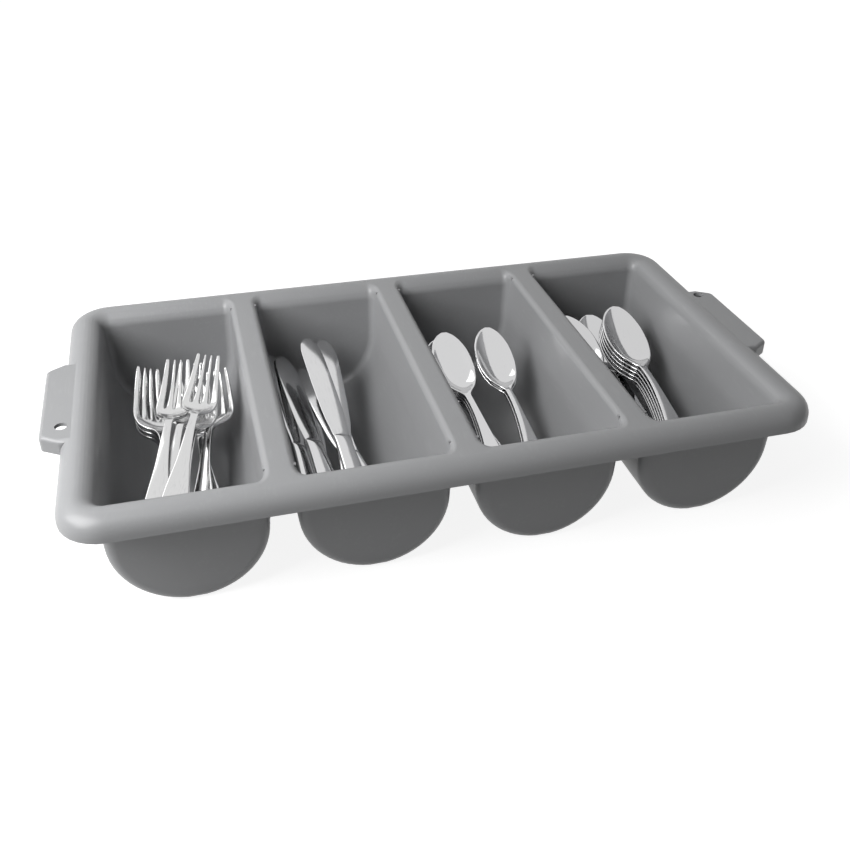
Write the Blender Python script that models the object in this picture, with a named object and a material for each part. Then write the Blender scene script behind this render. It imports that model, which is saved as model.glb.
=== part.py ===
# A four-compartment moulded cutlery bin with its forks, knives, teaspoons and tablespoons.
# Metres, +Z up, X along the bin, +Y away from the front. The origin is under the middle of the bin,
# on the surface that it stands on.
import math

import bmesh
import bpy
from mathutils import Euler, Matrix
from mathutils.bvhtree import BVHTree

# The moulding
BIN_WIDTH = 0.2921
BIN_HEIGHT = 0.09525
WALL = 0.0025
RIM_DEPTH = 0.0149
RIM_CORNER = 0.030
RIM_OUTER_ROUND = 0.0120
RIM_INNER_ROUND = 0.0115
DIVIDER_ROUND = 0.0048
COMPARTMENTS = 4
TUB_WIDTH = 0.1032
TUB_GAP = 0.01855
RIM_OVERHANG = 0.023075
TUB_LENGTH = 0.2468
TROUGH_RISE = 0.0523
TUB_EDGE_ROUND = 0.0084
FOOT_WIDTH = 0.0120
SIDE_LEAN = math.radians(1.8)
END_LEAN = math.radians(1.7)

# The lifting handles, one at each end of the rim
HANDLE_REACH = 0.0126
HANDLE_LENGTH = 0.0870
HANDLE_ROOT_LENGTH = 0.1030
HANDLE_DROP = 0.0009
HANDLE_DEPTH = 0.0110
HANDLE_EDGE_ROUND = 0.0028
HANG_HOLE_RADIUS = 0.0042
HANG_HOLE_INSET = 0.0139
LEFT_HOLE_OFFSET = 0.0338
RIGHT_HOLE_OFFSET = 0.0418

# Cutlery, each kind with its own sizes
FORK_LENGTH = 0.190
FORK_HEAD_WIDTH = 0.0258
FORK_HANDLE_WIDTH = 0.0206
FORK_NECK_WIDTH = 0.0056
FORK_TIP_WIDTH = 0.0178
FORK_RISE = 0.0150
FORK_DISH = 0.0022
FORK_THICKNESS = 0.0021
FORK_SLOT_WIDTH = 0.0024
FORK_TINES = 4

KNIFE_LENGTH = 0.222
KNIFE_BLADE_WIDTH = 0.0200
KNIFE_HANDLE_WIDTH = 0.0190
KNIFE_BOLSTER_WIDTH = 0.0140
KNIFE_HANDLE_THICKNESS = 0.0062
KNIFE_BLADE_THICKNESS = 0.0018
KNIFE_HANDLE_SHARE = 0.45

TEASPOON_LENGTH = 0.166
TEASPOON_BOWL_WIDTH = 0.0335
TEASPOON_HANDLE_WIDTH = 0.0190
TEASPOON_NECK_WIDTH = 0.0056
TEASPOON_RISE = 0.0135
TEASPOON_DISH = 0.0080
TEASPOON_BOWL_LIFT = 0.0080
TEASPOON_THICKNESS = 0.0017
TEASPOON_BOWL_SHARE = 0.35

TABLESPOON_LENGTH = 0.198
TABLESPOON_BOWL_WIDTH = 0.0405
TABLESPOON_HANDLE_WIDTH = 0.0226
TABLESPOON_NECK_WIDTH = 0.0066
TABLESPOON_RISE = 0.0160
TABLESPOON_DISH = 0.0098
TABLESPOON_BOWL_LIFT = 0.0070
TABLESPOON_THICKNESS = 0.0019
TABLESPOON_BOWL_SHARE = 0.35

# Fits and overruns
SEAT_GAP = 0.0003
OVERRUN = 0.0020

CORNER_STEPS = 5
ROUND_STEPS = 4
TROUGH_STEPS = 6
HOLE_STEPS = 16

TUB_PITCH = TUB_WIDTH + TUB_GAP
RIM_LENGTH = COMPARTMENTS * TUB_WIDTH + (COMPARTMENTS - 1) * TUB_GAP + 2 * RIM_OVERHANG
RIM_UNDERSIDE = BIN_HEIGHT - RIM_DEPTH
GAP_RADIUS = TUB_GAP / 2


def clear_scene():
    for obj in list(bpy.data.objects):
        bpy.data.objects.remove(obj)


def material(name, colour, roughness, metallic):
    made = bpy.data.materials.new(name)
    made.use_nodes = True
    shader = made.node_tree.nodes["Principled BSDF"]
    shader.inputs["Base Color"].default_value = (*colour, 1)
    shader.inputs["Roughness"].default_value = roughness
    shader.inputs["Metallic"].default_value = metallic
    return made


def object_from_rings(name, rings, flat=False):
    """A closed object whose skin joins one ring of points to the next, with a face over each end. With flat it
    is made of triangles, so that its surface is the same wherever it is measured."""
    mesh = bmesh.new()
    loops = [[mesh.verts.new(point) for point in ring] for ring in rings]
    count = len(loops[0])
    for low, high in zip(loops, loops[1:]):
        for i in range(count):
            j = (i + 1) % count
            mesh.faces.new((low[i], low[j], high[j], high[i]))
    mesh.faces.new(loops[0][::-1])
    mesh.faces.new(loops[-1])
    bmesh.ops.recalc_face_normals(mesh, faces=mesh.faces)
    if flat:
        bmesh.ops.triangulate(mesh, faces=mesh.faces)
    data = bpy.data.meshes.new(name)
    mesh.to_mesh(data)
    mesh.free()
    made = bpy.data.objects.new(name, data)
    bpy.context.scene.collection.objects.link(made)
    return made


def helper(obj):
    obj.hide_render = True
    obj.display_type = "WIRE"
    return obj


def boolean(obj, operation, other):
    step = obj.modifiers.new(other.name, "BOOLEAN")
    step.operation = operation
    step.solver = "EXACT"
    step.object = helper(other)


def evaluated_mesh(obj):
    graph = bpy.context.evaluated_depsgraph_get()
    return bpy.data.meshes.new_from_object(obj.evaluated_get(graph))


def finish(obj, skin, sharp_angle):
    obj.data.materials.clear()
    obj.data.materials.append(skin)
    obj.data.shade_smooth()
    obj.data.set_sharp_from_angle(angle=sharp_angle)


# The moulding's rim


def rounded_rectangle(x_low, x_high, y_low, y_high, z, deep, left, right):
    """A ring whose corners are deep along Y, and left or right along X, so that they may be oval."""
    ring = []
    for cx, cy, broad, start in (
        (x_high - right, y_high - deep, right, 0),
        (x_low + left, y_high - deep, left, 1),
        (x_low + left, y_low + deep, left, 2),
        (x_high - right, y_low + deep, right, 3),
    ):
        for i in range(CORNER_STEPS + 1):
            turn = math.pi / 2 * (start + i / CORNER_STEPS)
            ring.append((cx + broad * math.cos(turn), cy + deep * math.sin(turn), z))
    return ring


def edge_profile(radius, inset, lowest, top):
    """(inset, height) pairs up a wall and over its rounded top edge, for a skin that far inside the outer one."""
    centre = top - radius
    arc = [
        (radius - (radius - inset) * math.cos(turn), centre + (radius - inset) * math.sin(turn))
        for turn in (math.pi / 2 * i / ROUND_STEPS for i in range(ROUND_STEPS + 1))
    ]
    return [(inset, lowest)] + arc


def rim_block(name, inset, lowest):
    rings = []
    for moved, z in edge_profile(RIM_OUTER_ROUND, inset, lowest, BIN_HEIGHT):
        x = RIM_LENGTH / 2 - moved
        y = BIN_WIDTH / 2 - moved
        corner = RIM_CORNER - moved
        rings.append(rounded_rectangle(-x, x, -y, y, z, corner, corner, corner))
    return object_from_rings(name, rings)


def handle_block(name, side, inset, lowest):
    top = BIN_HEIGHT - HANDLE_DROP
    rings = []
    for moved, z in edge_profile(HANDLE_EDGE_ROUND, min(inset, HANDLE_EDGE_ROUND), lowest, top - inset):
        moved = max(moved, inset)
        outer = RIM_LENGTH / 2 + HANDLE_REACH - moved
        root = RIM_LENGTH / 2
        deep = RIM_LENGTH / 2 - RIM_OUTER_ROUND
        half = HANDLE_LENGTH / 2 - moved
        root_half = HANDLE_ROOT_LENGTH / 2 - moved
        outline = ((deep, root_half), (root, root_half), (outer, half), (outer, -half), (root, -root_half))
        outline += ((deep, -root_half),)
        rings.append([(side * x, side * y, z) for x, y in outline])
    return object_from_rings(name, rings)


def hang_hole(name, side, offset):
    x = side * (RIM_LENGTH / 2 + HANDLE_REACH - HANG_HOLE_INSET)
    y = side * offset
    rings = []
    for z in (RIM_UNDERSIDE - OVERRUN, BIN_HEIGHT + OVERRUN):
        ring = []
        for i in range(HOLE_STEPS):
            turn = 2 * math.pi * i / HOLE_STEPS
            ring.append((x + HANG_HOLE_RADIUS * math.cos(turn), y + HANG_HOLE_RADIUS * math.sin(turn), z))
        rings.append(ring)
    return object_from_rings(name, rings)


# The moulding's tubs


def tub_centre(index):
    return (index - (COMPARTMENTS - 1) / 2) * TUB_PITCH


def side_reach(inset, z):
    """Half the width of a tub at a height above its trough, measured to a skin that far inside the outer one."""
    return TUB_WIDTH / 2 - inset + (z - TROUGH_RISE) * math.tan(SIDE_LEAN)


def end_reach(inset, z):
    return TUB_LENGTH / 2 - inset + (z - RIM_UNDERSIDE) * math.tan(END_LEAN)


def trough_outline(inset, floor_inset, top):
    """(x, z) points down one side of a tub's section, across its flat foot and up the other side."""
    across = TUB_WIDTH / 2 - inset
    depth = TROUGH_RISE - floor_inset
    foot = math.asin(FOOT_WIDTH / TUB_WIDTH)
    tall = depth / math.cos(foot)
    right = [(side_reach(inset, top), top)]
    for i in range(TROUGH_STEPS + 1):
        turn = math.pi / 2 - (math.pi / 2 - foot) * i / TROUGH_STEPS
        right.append((across * math.sin(turn), TROUGH_RISE - tall * math.cos(turn)))
    return [(-x, z) for x, z in right] + right[::-1]


def tub_block(name, index, inset, top):
    """A tub's outer form, or the hollow in it where inset is the wall, with its ends rounded over."""
    edge = TUB_EDGE_ROUND - inset
    stations = [
        (edge - edge * math.sin(turn), edge - edge * math.cos(turn))
        for turn in (math.pi / 2 * i / ROUND_STEPS for i in range(ROUND_STEPS + 1))
    ]
    middle = tub_centre(index)
    rings = []
    for end, rows in ((-1, stations), (1, stations[::-1])):
        for shrunk, back in rows:
            ring = []
            for x, z in trough_outline(inset + shrunk, inset + shrunk, top):
                ring.append((middle + x, end * (end_reach(inset, z) - back), z))
            rings.append(ring)
    return object_from_rings(name, rings)


def lip_block(name, index, inset, highest):
    """The rounded mouth of a compartment: wide on the rim's sides, tight on a divider's."""
    left = RIM_INNER_ROUND if index == 0 else DIVIDER_ROUND
    right = RIM_INNER_ROUND if index == COMPARTMENTS - 1 else DIVIDER_ROUND
    heights = {BIN_HEIGHT - RIM_INNER_ROUND - OVERRUN, highest}
    for radius in (RIM_INNER_ROUND, DIVIDER_ROUND):
        for i in range(ROUND_STEPS + 1):
            rise = (radius - inset) * math.sin(math.pi / 2 * i / ROUND_STEPS)
            heights.add(BIN_HEIGHT - radius + rise)
    middle = tub_centre(index)
    trim = SEAT_GAP / 2

    def flare(radius, z):
        turned = radius - inset
        rise = min(max(z - (BIN_HEIGHT - radius), 0), turned)
        return turned - math.sqrt(turned * turned - rise * rise)

    rings = []
    for z in sorted(heights):
        if z > highest:
            continue
        half = side_reach(WALL - inset, z) - trim
        deep = end_reach(WALL - inset, z) - trim
        corner = TUB_EDGE_ROUND - WALL + inset
        over_end = flare(RIM_INNER_ROUND, z)
        over_left = flare(left, z)
        over_right = flare(right, z)
        rings.append(rounded_rectangle(
            middle - half - over_left, middle + half + over_right, -deep - over_end, deep + over_end, z,
            corner + over_end, corner + over_left, corner + over_right))
    return object_from_rings(name, rings)


def web_block(name, index, end):
    """The wall between two neighbouring tubs at one end of the gap, with an arched lower edge."""
    middle = (tub_centre(index) + tub_centre(index + 1)) / 2
    half = GAP_RADIUS + WALL / 2
    top = BIN_HEIGHT - WALL / 2
    spring = TROUGH_RISE
    outline = [(half, top), (-half, top), (-half, spring - WALL)]
    arch = TROUGH_STEPS * 2
    outline.append((-GAP_RADIUS, spring - WALL))
    for i in range(arch + 1):
        turn = math.pi - math.pi * i / arch
        outline.append((GAP_RADIUS * math.cos(turn), spring + GAP_RADIUS * math.sin(turn)))
    outline += [(GAP_RADIUS, spring - WALL), (half, spring - WALL)]
    near = TUB_LENGTH / 2 - TUB_EDGE_ROUND
    rings = []
    for y in (near - WALL, near):
        rings.append([(middle + x, end * y, z) for x, z in outline])
    return object_from_rings(name, rings)


def make_bin(skin):
    moulding = rim_block("bin_moulding", 0, RIM_UNDERSIDE)
    for side, end in ((-1, "left"), (1, "right")):
        lowest = BIN_HEIGHT - HANDLE_DROP - HANDLE_DEPTH
        boolean(moulding, "UNION", handle_block(f"{end}_handle_outside", side, 0, lowest))
    boolean(moulding, "DIFFERENCE", rim_block("rim_hollow", WALL, RIM_UNDERSIDE - OVERRUN))
    for side, end in ((-1, "left"), (1, "right")):
        lowest = RIM_UNDERSIDE - OVERRUN
        boolean(moulding, "DIFFERENCE", handle_block(f"{end}_handle_hollow", side, WALL, lowest))
    for index in range(COMPARTMENTS):
        boolean(moulding, "UNION", tub_block(f"tub_{index}_outside", index, 0, BIN_HEIGHT - WALL / 2))
        boolean(moulding, "UNION", lip_block(f"lip_{index}_outside", index, WALL, BIN_HEIGHT - WALL / 2))
    for index in range(COMPARTMENTS - 1):
        for end, word in ((-1, "front"), (1, "back")):
            boolean(moulding, "UNION", web_block(f"web_{index}_{word}", index, end))
    for index in range(COMPARTMENTS):
        boolean(moulding, "DIFFERENCE", tub_block(f"tub_{index}_hollow", index, WALL, BIN_HEIGHT + OVERRUN))
        boolean(moulding, "DIFFERENCE", lip_block(f"lip_{index}_hollow", index, 0, BIN_HEIGHT + OVERRUN))
    for side, end, offset in ((-1, "left", LEFT_HOLE_OFFSET), (1, "right", RIGHT_HOLE_OFFSET)):
        boolean(moulding, "DIFFERENCE", hang_hole(f"{end}_hang_hole", side, offset))
    finish(moulding, skin, math.radians(30))
    return moulding


# Cutlery. Each piece lies along +Y, its handle's end first, its dished side up.


def strip_mesh(name, length, rows):
    """A mesh through rows of (place along, half width, top, dish, thickness), four points over and four under."""
    across_shares = (-1, -0.45, 0.45, 1)
    dish_shares = (0, 1, 1, 0)
    rings = []
    for along, half, top, dish, thickness in rows:
        y = along - length / 2
        upper = [(share * half, y, top - dip * dish) for share, dip in zip(across_shares, dish_shares)]
        lower = [(x, y, z - thickness) for x, y, z in upper[::-1]]
        rings.append(upper + lower)
    obj = object_from_rings(name, rings, flat=True)
    data = obj.data
    bpy.data.objects.remove(obj)
    return data


def fork_mesh():
    handle = FORK_HANDLE_WIDTH / 2
    neck = FORK_NECK_WIDTH / 2
    head = FORK_HEAD_WIDTH / 2
    tip = FORK_TIP_WIDTH / 2
    # along, width between a and b, rise, dish, thickness
    shares = (
        (0.000, 0.35 * handle, 0.06, 0.0, 1.0),
        (0.012, 0.70 * handle, 0.07, 0.0, 1.0),
        (0.045, 0.98 * handle, 0.10, -0.1, 1.0),
        (0.110, 1.00 * handle, 0.17, -0.1, 1.0),
        (0.240, 0.88 * handle, 0.40, -0.2, 1.1),
        (0.400, 0.48 * handle, 0.70, -0.2, 1.3),
        (0.540, 0.32 * handle, 0.86, -0.1, 1.5),
        (0.635, 1.00 * neck, 0.82, -0.1, 1.5),
        (0.680, 1.45 * neck, 0.62, 0.1, 1.3),
        (0.708, 0.62 * head, 0.42, 0.6, 1.1),
        (0.735, 0.88 * head, 0.27, 0.9, 1.0),
        (0.775, 1.00 * head, 0.18, 1.0, 1.0),
        (0.850, 0.65 * head + 0.35 * tip, 0.30, 0.9, 0.9),
        (0.925, 0.32 * head + 0.68 * tip, 0.62, 0.6, 0.8),
        (1.000, 1.00 * tip, 1.08, 0.3, 0.5),
    )
    rows = [
        (along * FORK_LENGTH, half, rise * FORK_RISE, dish * FORK_DISH, thick * FORK_THICKNESS)
        for along, half, rise, dish, thick in shares
    ]
    solid = bpy.data.objects.new("fork_form", strip_mesh("fork_form", FORK_LENGTH, rows))
    bpy.context.scene.collection.objects.link(solid)
    slot_shares = ((0.785, 0.55), (0.82, 1.00), (1 + OVERRUN / FORK_LENGTH, 1.60))
    root_share = slot_shares[0][0]
    for slot in range(FORK_TINES - 1):
        share = (slot + 1) * 2 / FORK_TINES - 1
        rings = []
        for z in (-FORK_RISE, 2 * FORK_RISE):
            ring = []
            for side, ends in ((-1, slot_shares), (1, slot_shares[::-1])):
                for along, width in ends:
                    middle = share * (head if along < root_share + OVERRUN else head + (tip - head) * (
                        (along - root_share) / (1 - root_share)))
                    x = middle + side * width * FORK_SLOT_WIDTH / 2
                    ring.append((x, along * FORK_LENGTH - FORK_LENGTH / 2, z))
            rings.append(ring)
        boolean(solid, "DIFFERENCE", object_from_rings(f"fork_slot_{slot}", rings))
    cut = evaluated_mesh(solid)
    whole = bmesh.new()
    whole.from_mesh(cut)
    bmesh.ops.triangulate(whole, faces=whole.faces)
    whole.to_mesh(cut)
    whole.free()
    for step in list(solid.modifiers):
        bpy.data.objects.remove(step.object)
    bpy.data.objects.remove(solid)
    return cut


def knife_mesh():
    handle = KNIFE_HANDLE_WIDTH / 2
    bolster = KNIFE_BOLSTER_WIDTH / 2
    blade = KNIFE_BLADE_WIDTH / 2
    split = KNIFE_HANDLE_SHARE
    handle_shares = (
        (0.00, 0.45, 0.55),
        (0.03, 0.80, 0.80),
        (0.12, 1.00, 1.00),
        (0.50, 0.92, 1.00),
        (0.90, 0.76, 0.95),
        (1.00, 0.74, 0.80),
    )
    rows = []
    for along, wide, thick in handle_shares:
        thickness = thick * KNIFE_HANDLE_THICKNESS
        rows.append((along * split * KNIFE_LENGTH, wide * handle, thickness / 2, -0.3 * thickness, thickness))
    blade_shares = ((0.03, 1.00, bolster), (0.20, 0.92, blade), (0.55, 1.00, blade), (0.82, 0.98, blade))
    blade_shares += ((0.93, 0.80, blade), (0.98, 0.48, blade), (1.00, 0.14, blade))
    for along, wide, half in blade_shares:
        place = (split + along * (1 - split)) * KNIFE_LENGTH
        rows.append((place, wide * half, KNIFE_BLADE_THICKNESS / 2, 0, KNIFE_BLADE_THICKNESS))
    return strip_mesh("knife_form", KNIFE_LENGTH, rows)


def spoon_mesh(name, length, bowl_width, handle_width, neck_width, rise, lift, dish, thickness, bowl_share):
    handle = handle_width / 2
    neck = neck_width / 2
    bowl = bowl_width / 2
    stem = 1 - bowl_share
    stem_shares = (
        (0.00, 0.35 * handle, 0.05, 1.0),
        (0.02, 0.70 * handle, 0.06, 1.0),
        (0.07, 0.98 * handle, 0.10, 1.0),
        (0.17, 1.00 * handle, 0.20, 1.0),
        (0.38, 0.84 * handle, 0.50, 1.2),
        (0.65, 0.46 * handle, 0.86, 1.5),
        (0.87, 0.30 * handle, 1.00, 1.7),
        (0.97, 1.00 * neck, 0.98, 1.6),
    )
    bowl_shares = (
        (0.05, 0.34, 0.92, 0.18),
        (0.16, 0.66, 0.88, 0.60),
        (0.32, 0.90, 0.88, 0.95),
        (0.50, 1.00, 0.94, 1.00),
        (0.68, 0.95, 1.04, 0.85),
        (0.84, 0.74, 1.16, 0.50),
        (0.95, 0.42, 1.26, 0.18),
        (1.00, 0.12, 1.30, 0.00),
    )
    rows = [
        (along * stem * length, half, up * rise, -0.15 * thickness, thick * thickness)
        for along, half, up, thick in stem_shares
    ]
    rows += [
        ((stem + along * bowl_share) * length, wide * bowl, up * rise + along * lift, dip * dish, thickness)
        for along, wide, up, dip in bowl_shares
    ]
    return strip_mesh(name, length, rows)


# Laying in: each piece is moved straight up or down from where its row puts it, until it lies a seat gap above
# what is under it.


def tree_of(mesh, matrix):
    points = [matrix @ vertex.co for vertex in mesh.vertices]
    return BVHTree.FromPolygons(points, [face.vertices[:] for face in mesh.polygons])


def rested(mesh, matrix, laid):
    """The piece's place, and the tree of its faces there."""

    def clear(at):
        tree = tree_of(mesh, at)
        return not any(tree.overlap(other) for other in laid)

    up = Matrix.Translation((0, 0, SEAT_GAP))
    down = Matrix.Translation((0, 0, -SEAT_GAP))
    while not clear(matrix):
        matrix = up @ matrix
    while clear(down @ matrix):
        matrix = down @ matrix
    return matrix, tree_of(mesh, matrix)


# Where each piece is laid, in the order in which it goes in. The first three numbers place its middle, as shares of
# half a compartment's width, half its length and the bin's height. The others are its yaw, pitch and roll in
# degrees: a positive yaw turns the head to +X, a positive pitch raises it and a positive roll lowers its +X side.
FORK_SHARES = (
    (-0.305, -0.20, 0.31, -13, 16, 25),
    (-0.305, -0.20, 0.36, -13, 16, 25),
    (-0.305, -0.20, 0.40, -13, 16, 25),
    (0.34, -0.08, 0.25, 0, 8, -13),
    (0.395, -0.12, 0.36, 12, 6, -16),
    (0.06, -0.21, 0.42, 12.5, 9, 4),
    (-0.10, -0.20, 0.47, 11, 9.5, 4),
    (-0.22, -0.21, 0.53, 9, 8, 3.5),
    (0.08, -0.22, 0.57, 12.5, 7.5, 8.5),
)
KNIFE_SHARES = (
    (-0.42, 0.02, 0.21, -3, 5, 25),
    (-0.005, -0.02, 0.23, -8.5, 5.5, -9.5),
    (-0.04, -0.01, 0.39, -1, 11.5, 19),
    (-0.735, -0.03, 0.39, -7, 8, 40),
    (-0.53, -0.04, 0.42, -5, 4, 25),
    (-0.12, -0.065, 0.46, -7, 11, 20),
)
TEASPOON_SHARES = (
    (-0.36, -0.10, 0.24, -16, 13, 4),
    (-0.40, -0.11, 0.28, -13, 14, 5),
    (-0.49, -0.17, 0.35, -7, 14.5, 7),
    (-0.48, -0.18, 0.39, -7.5, 14.5, 7),
    (-0.47, -0.19, 0.43, -8, 14.5, 7),
    (0.19, -0.145, 0.32, -5.5, 15.5, 10),
    (0.20, -0.145, 0.36, -6.5, 15.5, 10),
)
TABLESPOON_SHARES = (
    (-0.025, 0.085, 0.15, 0, 6, 8),
    (-0.455, -0.04, 0.24, -5.5, 8, 4.5),
    (0.07, -0.16, 0.22, -1, 8, 13.5),
    (0.08, -0.16, 0.26, -1, 8, 13.5),
    (0.09, -0.16, 0.29, -1, 8, 13.5),
    (0.10, -0.16, 0.33, -1, 8, 13.5),
    (0.11, -0.16, 0.37, -1, 8, 13.5),
)


def lay_in(kind, mesh, index, moulding, shares, skin):
    laid = [moulding]
    for number, (across, along, high, yaw, pitch, roll) in enumerate(shares, 1):
        x = tub_centre(index) + across * TUB_WIDTH / 2
        turn = Euler((math.radians(pitch), math.radians(roll), -math.radians(yaw)), "XYZ")
        start = Matrix.Translation((x, along * TUB_LENGTH / 2, high * BIN_HEIGHT)) @ turn.to_matrix().to_4x4()
        piece = bpy.data.objects.new(f"{kind}_{number}", mesh)
        bpy.context.scene.collection.objects.link(piece)
        piece.matrix_world, tree = rested(mesh, start, laid)
        laid.append(tree)
        finish(piece, skin, math.radians(50))


def main():
    clear_scene()
    plastic = material("grey_polyethylene", (0.30, 0.31, 0.32), 0.42, 0.0)
    moulding = make_bin(plastic)
    whole = tree_of(evaluated_mesh(moulding), Matrix())
    fork_steel = material("fork_steel", (0.76, 0.76, 0.77), 0.16, 1.0)
    knife_steel = material("knife_steel", (0.74, 0.74, 0.75), 0.14, 1.0)
    teaspoon_steel = material("teaspoon_steel", (0.77, 0.77, 0.78), 0.12, 1.0)
    tablespoon_steel = material("tablespoon_steel", (0.77, 0.77, 0.78), 0.12, 1.0)
    lay_in("fork", fork_mesh(), 0, whole, FORK_SHARES, fork_steel)
    lay_in("knife", knife_mesh(), 1, whole, KNIFE_SHARES, knife_steel)
    teaspoon = spoon_mesh(
        "teaspoon_form", TEASPOON_LENGTH, TEASPOON_BOWL_WIDTH, TEASPOON_HANDLE_WIDTH, TEASPOON_NECK_WIDTH,
        TEASPOON_RISE, TEASPOON_BOWL_LIFT, TEASPOON_DISH, TEASPOON_THICKNESS, TEASPOON_BOWL_SHARE)
    lay_in("teaspoon", teaspoon, 2, whole, TEASPOON_SHARES, teaspoon_steel)
    tablespoon = spoon_mesh(
        "tablespoon_form", TABLESPOON_LENGTH, TABLESPOON_BOWL_WIDTH, TABLESPOON_HANDLE_WIDTH,
        TABLESPOON_NECK_WIDTH, TABLESPOON_RISE, TABLESPOON_BOWL_LIFT, TABLESPOON_DISH, TABLESPOON_THICKNESS,
        TABLESPOON_BOWL_SHARE)
    lay_in("tablespoon", tablespoon, 3, whole, TABLESPOON_SHARES, tablespoon_steel)


main()
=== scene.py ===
import math

import bmesh
import bpy
from mathutils import Euler, Matrix, Vector


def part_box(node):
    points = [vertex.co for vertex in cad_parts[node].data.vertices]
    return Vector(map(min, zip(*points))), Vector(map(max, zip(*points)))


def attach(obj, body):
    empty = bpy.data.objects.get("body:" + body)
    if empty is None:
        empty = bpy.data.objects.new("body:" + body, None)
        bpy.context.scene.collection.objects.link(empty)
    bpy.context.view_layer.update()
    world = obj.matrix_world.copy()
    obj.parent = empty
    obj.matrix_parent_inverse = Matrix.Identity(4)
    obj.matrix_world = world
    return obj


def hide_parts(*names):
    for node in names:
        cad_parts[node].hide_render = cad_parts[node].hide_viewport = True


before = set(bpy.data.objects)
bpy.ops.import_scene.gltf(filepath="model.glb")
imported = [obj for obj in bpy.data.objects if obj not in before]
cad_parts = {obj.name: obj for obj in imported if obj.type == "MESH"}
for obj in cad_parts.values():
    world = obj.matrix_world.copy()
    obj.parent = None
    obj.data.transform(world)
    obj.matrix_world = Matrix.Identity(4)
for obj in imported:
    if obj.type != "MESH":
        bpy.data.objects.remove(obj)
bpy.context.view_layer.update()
print("frame loaded:", len(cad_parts), "nodes")

scene = bpy.context.scene
scene.view_settings.view_transform = "Standard"


# Camera. The angles are in radians, the lens and the middle of the view in pixels of an 850 pixel picture.

photoView = {
    "place": (-0.159488, -0.616937, 0.460719),
    "yaw": 0.29086,
    "pitch": 0.56107,
    "roll": 0.022002,
    "focalPixels": 968.894,
    "middle": (451.962, 393.367),
    "picture": 850,
    "sensor": 36,
}


def addCamera(view):
    yaw, pitch, roll = view["yaw"], view["pitch"], view["roll"]
    ahead = Vector((math.sin(yaw) * math.cos(pitch), math.cos(yaw) * math.cos(pitch), -math.sin(pitch)))
    right = Vector((math.cos(yaw), -math.sin(yaw), 0))
    above = right.cross(ahead)
    rolledRight = math.cos(roll) * right + math.sin(roll) * above
    rolledAbove = math.cos(roll) * above - math.sin(roll) * right
    turn = Matrix((rolledRight, rolledAbove, -ahead)).transposed().to_4x4()
    camera = bpy.data.objects.new("photoCamera", bpy.data.cameras.new("photoCamera"))
    scene.collection.objects.link(camera)
    camera.matrix_world = Matrix.Translation(view["place"]) @ turn
    size = view["picture"]
    camera.data.sensor_width = view["sensor"]
    camera.data.lens = view["sensor"] * view["focalPixels"] / size
    camera.data.shift_x = (size / 2 - view["middle"][0]) / size
    camera.data.shift_y = (view["middle"][1] - size / 2) / size
    scene.camera = camera


addCamera(photoView)


# Node helpers


def newNode(tree, kind, values=None, **settings):
    node = tree.nodes.new(kind)
    for key, value in settings.items():
        setattr(node, key, value)
    for key, value in (values or {}).items():
        if isinstance(value, bpy.types.NodeSocket):
            tree.links.new(value, node.inputs[key])
        else:
            node.inputs[key].default_value = value
    return node


def mapped(tree, value, low, high):
    node = newNode(tree, "ShaderNodeMapRange", {"Value": value, "To Min": low, "To Max": high})
    return node.outputs["Result"]


def mixed(tree, factor, first, second):
    # a mix of two colours, whose sockets share their names with those for numbers and go by their index
    return newNode(tree, "ShaderNodeMix", {0: factor, 6: first, 7: second}, data_type="RGBA").outputs[2]


def combined(tree, operation, first, second):
    return newNode(tree, "ShaderNodeMath", {0: first, 1: second}, operation=operation).outputs[0]


def newGroup(name, inputs, outputs):
    tree = bpy.data.node_groups.new(name, "ShaderNodeTree")
    for socketName, kind, value in inputs:
        made = tree.interface.new_socket(name=socketName, in_out="INPUT", socket_type=kind)
        if value is not None:
            made.default_value = value
    for socketName, kind in outputs:
        tree.interface.new_socket(name=socketName, in_out="OUTPUT", socket_type=kind)
    return tree, newNode(tree, "NodeGroupInput"), newNode(tree, "NodeGroupOutput")


grainNoise = {"fineRoughness": 0.6, "slowRoughness": 0.55, "slowDetail": 4.0}


def makeGrain():
    # fine surface grain: a height for the bump, and a mask that drifts slowly over the piece
    tree, taken, given = newGroup(
        "surfaceGrain",
        (("Vector", "NodeSocketVector", None), ("Grains Per Metre", "NodeSocketFloat", 900.0),
         ("Drift Per Metre", "NodeSocketFloat", 14.0), ("Detail", "NodeSocketFloat", 3.0)),
        (("Height", "NodeSocketFloat"), ("Drift", "NodeSocketFloat")))
    fine = newNode(tree, "ShaderNodeTexNoise", {
        "Vector": taken.outputs["Vector"], "Scale": taken.outputs["Grains Per Metre"],
        "Detail": taken.outputs["Detail"], "Roughness": grainNoise["fineRoughness"]})
    slow = newNode(tree, "ShaderNodeTexNoise", {
        "Vector": taken.outputs["Vector"], "Scale": taken.outputs["Drift Per Metre"],
        "Detail": grainNoise["slowDetail"], "Roughness": grainNoise["slowRoughness"]})
    tree.links.new(fine.outputs["Fac"], given.inputs["Height"])
    tree.links.new(slow.outputs["Fac"], given.inputs["Drift"])
    return tree


scuffNoise = {"lineDetail": 2.0, "lineEdge": (0.52, 0.66), "patchesPerMetre": 60.0, "patchEdge": (0.42, 0.62)}


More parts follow.
